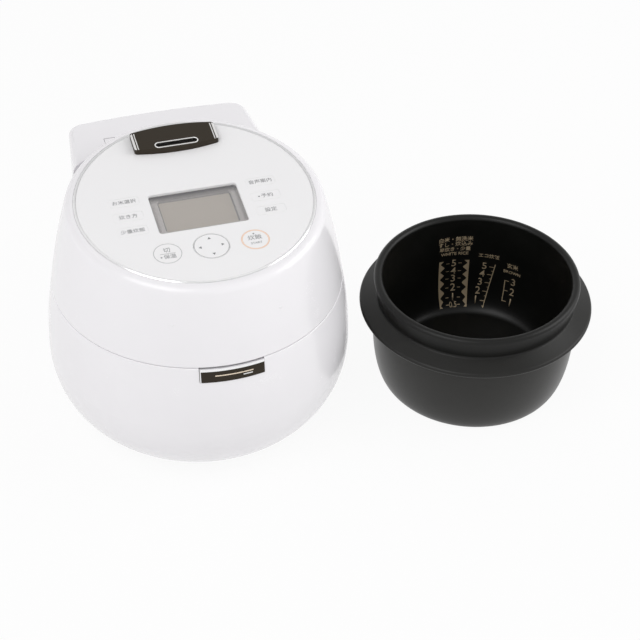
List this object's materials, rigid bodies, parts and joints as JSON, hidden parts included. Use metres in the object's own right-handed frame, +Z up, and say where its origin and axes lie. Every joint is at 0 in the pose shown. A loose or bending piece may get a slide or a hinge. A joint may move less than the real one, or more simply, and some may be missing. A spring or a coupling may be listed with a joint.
{
  "type": "rice cooker",
  "caption": "Rice cooker with a hinged round lid, sloping key panel and display, steam cap and front lid button, beside its wide-brimmed inner pot.",
  "frame": {"origin": "on the floor under the middle of the round body, level with the feet", "axes": "+Z up, -Y the front with the lid button, +X to the right where the pot stands"},
  "size_m": [0.5204, 0.3283, 0.2475],
  "materials": {
    "white_gloss": "smooth gloss",
    "panel_white": "satin gloss film",
    "grey_plastic": "fine moulded grain",
    "dark_plastic": "dark brown satin",
    "heat_plastic": "heat-resistant matte",
    "latch_plastic": "natural acetal",
    "bezel_grey": "matte",
    "board_green": "lacquered board",
    "chrome": "bright plated",
    "window_clear": "clear acrylic",
    "lcd_glass": "grey liquid-crystal glass",
    "rubber_grey": "soft matte",
    "steel": "plain zinc",
    "aluminium": "brushed",
    "copper_wire": "lacquered copper wire",
    "contact_brass": "bare",
    "ferrite": "sintered",
    "pot_coating": "matte black non-stick coat on thick aluminium"
  },
  "bodies": {
    "body": {"base_plate": "grey_plastic", "rubber_feet": "rubber_grey", "base_screws": "steel", "body_shell": "white_gloss", "top_frame": "grey_plastic", "pot_well": "heat_plastic", "rear_housing": "white_gloss", "hinge_cover": "white_gloss", "hinge_pin": "steel", "hinge_springs": "steel", "power_board": "board_green", "heat_sink": "aluminium", "fan_frame": "dark_plastic", "power_inlet": "dark_plastic", "inlet_contacts": "contact_brass", "coil_holder": "heat_plastic", "inner_coil": "copper_wire", "outer_coil": "copper_wire", "ferrite_bars": "ferrite", "sensor_guide": "heat_plastic", "sensor_spring": "steel", "latch_pin": "steel"},
    "lid": {"lid_shell": "white_gloss", "lid_ring": "chrome", "top_panel": "panel_white", "display_window": "window_clear", "display_bezel": "bezel_grey", "lcd_screen": "lcd_glass", "control_board": "board_green", "steam_duct": "grey_plastic", "lid_liner": "grey_plastic", "lid_catch": "latch_plastic", "lid_heater": "aluminium", "lid_screws": "steel"},
    "button": {"open_button": "dark_plastic", "button_bar": "chrome"},
    "hook": {"latch_hook": "latch_plastic"},
    "fan": {"fan_rotor": "dark_plastic"},
    "sensor": {"pot_sensor": "aluminium"},
    "rocker": {"pad_rocker": "heat_plastic"},
    "pad": {"cursor_pad": "panel_white"},
    "cap": {"steam_cap": "dark_plastic", "cap_case": "grey_plastic"},
    "inner_lid": {"inner_lid": "aluminium", "lid_gasket": "rubber_grey"},
    "pot": {"inner_pot": "pot_coating"},
    "cancel_key": {"cancel_key": "panel_white"},
    "start_key": {"start_key": "panel_white"},
    "left_upper_key": {"left_upper_key": "panel_white"},
    "left_middle_key": {"left_middle_key": "panel_white"},
    "left_lower_key": {"left_lower_key": "panel_white"},
    "right_upper_key": {"right_upper_key": "panel_white"},
    "right_middle_key": {"right_middle_key": "panel_white"},
    "right_lower_key": {"right_lower_key": "panel_white"}
  },
  "joints": [
    {"name": "lid_hinge", "type": "hinge", "parent": "body", "child": "lid", "pos_m": [0, 0.13, 0.203], "axis": [-1, 0, 0], "range_deg": [0, 88]},
    {"name": "button_press", "type": "slide", "parent": "body", "child": "button", "axis": [0, 1, 0], "range_m": [0, 0.0035], "stiffness_N_per_m": 400, "springref_m": -0.002},
    {"name": "hook_pivot", "type": "hinge", "parent": "body", "child": "hook", "pos_m": [0, -0.1235, 0.108], "axis": [-1, 0, 0], "range_deg": [0, 7]},
    {"name": "fan_spin", "type": "hinge", "parent": "body", "child": "fan", "pos_m": [-0.044, 0.155, 0.096], "axis": [0, 1, 0], "continuous": true},
    {"name": "sensor_press", "type": "slide", "parent": "body", "child": "sensor", "axis": [0, 0, -1], "range_m": [0, 0.003], "stiffness_N_per_m": 500, "springref_m": -0.002, "deforming": ["sensor_spring"]},
    {"name": "rocker_tilt", "type": "hinge", "parent": "lid", "child": "rocker", "pos_m": [0, -0.06361, 0.22136], "axis": [1, 0, 0], "range_deg": [-1.5, 1.5], "stiffness_Nm_per_rad": 0.05},
    {"name": "pad_tilt", "type": "hinge", "parent": "rocker", "child": "pad", "pos_m": [0, -0.06361, 0.22136], "axis": [0, 0.9964, 0.0849], "range_deg": [-1.5, 1.5], "stiffness_Nm_per_rad": 0.05},
    {"name": "cap_lift", "type": "slide", "parent": "lid", "child": "cap", "axis": [0, -0.0849, 0.9964], "range_m": [0, 0.03]},
    {"name": "inner_lid_drop", "type": "slide", "parent": "lid", "child": "inner_lid", "axis": [0, 0, -1], "range_m": [0, 0.025]},
    {"name": "pot_lift", "type": "slide", "parent": "body", "child": "pot", "axis": [0, 0, 1], "range_m": [0, 0.15]},
    {"name": "cancel_key_press", "type": "slide", "parent": "lid", "child": "cancel_key", "axis": [0, 0.0849, -0.9964], "range_m": [0, 0.0004], "stiffness_N_per_m": 500, "springref_m": -0.0006},
    {"name": "start_key_press", "type": "slide", "parent": "lid", "child": "start_key", "axis": [0, 0.0849, -0.9964], "range_m": [0, 0.0004], "stiffness_N_per_m": 500, "springref_m": -0.0006},
    {"name": "left_upper_key_press", "type": "slide", "parent": "lid", "child": "left_upper_key", "axis": [0, 0.0849, -0.9964], "range_m": [0, 0.0004], "stiffness_N_per_m": 500, "springref_m": -0.0006},
    {"name": "left_middle_key_press", "type": "slide", "parent": "lid", "child": "left_middle_key", "axis": [0, 0.0849, -0.9964], "range_m": [0, 0.0004], "stiffness_N_per_m": 500, "springref_m": -0.0006},
    {"name": "left_lower_key_press", "type": "slide", "parent": "lid", "child": "left_lower_key", "axis": [0, 0.0849, -0.9964], "range_m": [0, 0.0004], "stiffness_N_per_m": 500, "springref_m": -0.0006},
    {"name": "right_upper_key_press", "type": "slide", "parent": "lid", "child": "right_upper_key", "axis": [0, 0.0849, -0.9964], "range_m": [0, 0.0004], "stiffness_N_per_m": 500, "springref_m": -0.0006},
    {"name": "right_middle_key_press", "type": "slide", "parent": "lid", "child": "right_middle_key", "axis": [0, 0.0849, -0.9964], "range_m": [0, 0.0004], "stiffness_N_per_m": 500, "springref_m": -0.0006},
    {"name": "right_lower_key_press", "type": "slide", "parent": "lid", "child": "right_lower_key", "axis": [0, 0.0849, -0.9964], "range_m": [0, 0.0004], "stiffness_N_per_m": 500, "springref_m": -0.0006}
  ],
  "couplings": [
    {"joint": "hook_pivot", "follows": "button_press", "rad_per_m": 34.672}
  ]
}
